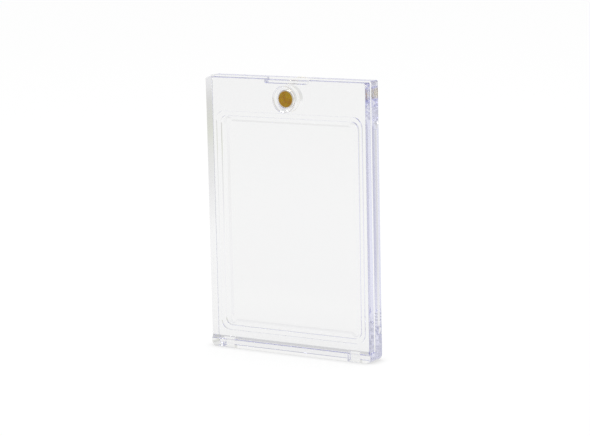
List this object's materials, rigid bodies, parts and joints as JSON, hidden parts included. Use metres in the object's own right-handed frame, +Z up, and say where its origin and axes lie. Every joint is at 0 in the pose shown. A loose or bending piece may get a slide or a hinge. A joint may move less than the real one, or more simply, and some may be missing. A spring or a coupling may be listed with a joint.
{
  "type": "trading card display case",
  "caption": "Upright clear plastic case for a trading card: thick rear shell with a slotted ledge, tipping front cover on prongs, sealed round gold magnets and a fingernail notch.",
  "frame": {"origin": "centre of the case's footprint, on the surface that it stands on", "axes": "+Z up along the card's long side, +X to the right seen from the front, -Y out of the front face"},
  "size_m": [0.0834, 0.0104, 0.1228],
  "materials": {
    "clear_shell": "polished",
    "clear_cover": "polished",
    "clear_plug": "polished",
    "gold_plate": "polished"
  },
  "bodies": {
    "case_back": {"rear_shell": "clear_shell", "rear_magnet": "gold_plate", "rear_magnet_plug": "clear_plug"},
    "cover": {"front_cover": "clear_cover", "front_magnet": "gold_plate", "front_magnet_plug": "clear_plug"}
  },
  "joints": [
    {"name": "cover_swing", "type": "hinge", "parent": "case_back", "child": "cover", "pos_m": [0, -0.00465, 0.00438], "axis": [1, 0, 0], "range_deg": [0, 30]}
  ]
}
